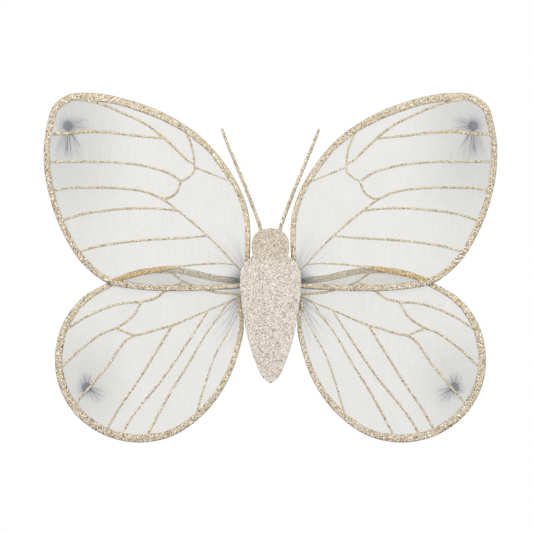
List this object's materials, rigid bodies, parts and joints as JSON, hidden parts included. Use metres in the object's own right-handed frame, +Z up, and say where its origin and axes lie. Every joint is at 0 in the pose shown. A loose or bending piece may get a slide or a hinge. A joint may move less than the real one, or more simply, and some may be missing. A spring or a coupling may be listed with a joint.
{
  "type": "fairy wings",
  "caption": "Child's costume fairy wings: nylon stretched over wire loops with glitter edging and veins, on a flat glittered body with antennae and elastic arm straps.",
  "frame": {"origin": "centre of the felt patch's rear face, which lies on the wearer's back", "axes": "+Z up as worn, +Y from the patch towards the wearer, +X to the wearer's right; the decorated face looks towards -Y"},
  "size_m": [0.4814, 0.1057, 0.3719],
  "materials": {
    "nylon": "matte",
    "steel_wire": "satin",
    "champagne_glitter": "satin",
    "golden_glitter": "satin",
    "beige_glitter_foam": "satin",
    "dark_thread": "matte",
    "grey_nylon_knot": "matte",
    "white_felt": "matte",
    "white_card": "matte",
    "white_elastic": "matte",
    "polyester_wadding": "matte"
  },
  "bodies": {
    "body": {"back_patch": "white_felt", "body_back": "white_felt", "body_front": "beige_glitter_foam", "body_stiffener": "white_card", "head_padding": "polyester_wadding", "left_antenna_stem": "steel_wire", "left_strap_tab_lower": "white_elastic", "left_strap_tab_upper": "white_elastic", "lower_left_gather": "nylon", "lower_left_thread_tie": "dark_thread", "lower_left_wire_root": "steel_wire", "lower_right_gather": "nylon", "lower_right_thread_tie": "dark_thread", "lower_right_wire_root": "steel_wire", "lower_wire_binding": "dark_thread", "right_antenna_stem": "steel_wire", "right_strap_tab_lower": "white_elastic", "right_strap_tab_upper": "white_elastic", "tail_padding": "polyester_wadding", "upper_left_gather": "nylon", "upper_left_thread_tie": "dark_thread", "upper_left_wire_root": "steel_wire", "upper_right_gather": "nylon", "upper_right_thread_tie": "dark_thread", "upper_right_wire_root": "steel_wire", "upper_wire_binding": "dark_thread"},
    "left_wings": {"left_crossing_tie": "dark_thread", "lower_left_fabric": "nylon", "lower_left_glitter_edge": "champagne_glitter", "lower_left_knot": "grey_nylon_knot", "lower_left_veins": "golden_glitter", "lower_left_wire": "steel_wire", "upper_left_fabric": "nylon", "upper_left_glitter_edge": "champagne_glitter", "upper_left_knot": "grey_nylon_knot", "upper_left_veins": "golden_glitter", "upper_left_wire": "steel_wire"},
    "right_wings": {"lower_right_fabric": "nylon", "lower_right_glitter_edge": "champagne_glitter", "lower_right_knot": "grey_nylon_knot", "lower_right_veins": "golden_glitter", "lower_right_wire": "steel_wire", "right_crossing_tie": "dark_thread", "upper_right_fabric": "nylon", "upper_right_glitter_edge": "champagne_glitter", "upper_right_knot": "grey_nylon_knot", "upper_right_veins": "golden_glitter", "upper_right_wire": "steel_wire"},
    "left_antenna": {"left_antenna": "champagne_glitter"},
    "right_antenna": {"right_antenna": "champagne_glitter"},
    "left_strap": {"left_strap": "white_elastic"},
    "right_strap": {"right_strap": "white_elastic"}
  },
  "joints": [
    {"name": "left_wing_flap", "type": "hinge", "parent": "body", "child": "left_wings", "pos_m": [-0.0345, -0.0078, 0], "axis": [0, 0, -1], "range_deg": [-45, 45], "stiffness_Nm_per_rad": 0.38},
    {"name": "right_wing_flap", "type": "hinge", "parent": "body", "child": "right_wings", "pos_m": [0.0345, -0.0078, 0], "axis": [0, 0, 1], "range_deg": [-45, 45], "stiffness_Nm_per_rad": 0.38},
    {"name": "left_antenna_bend", "type": "hinge", "parent": "body", "child": "left_antenna", "pos_m": [-0.0112, -0.0127, 0.074], "axis": [1, 0, 0], "range_deg": [-50, 50]},
    {"name": "right_antenna_bend", "type": "hinge", "parent": "body", "child": "right_antenna", "pos_m": [0.0112, -0.0127, 0.074], "axis": [1, 0, 0], "range_deg": [-50, 50]},
    {"name": "left_strap_swing", "type": "hinge", "parent": "body", "child": "left_strap", "pos_m": [-0.008, 0, 0], "axis": [0, 0, 1], "range_deg": [0, 50]},
    {"name": "right_strap_swing", "type": "hinge", "parent": "body", "child": "right_strap", "pos_m": [0.008, 0, 0], "axis": [0, 0, -1], "range_deg": [0, 50]}
  ]
}
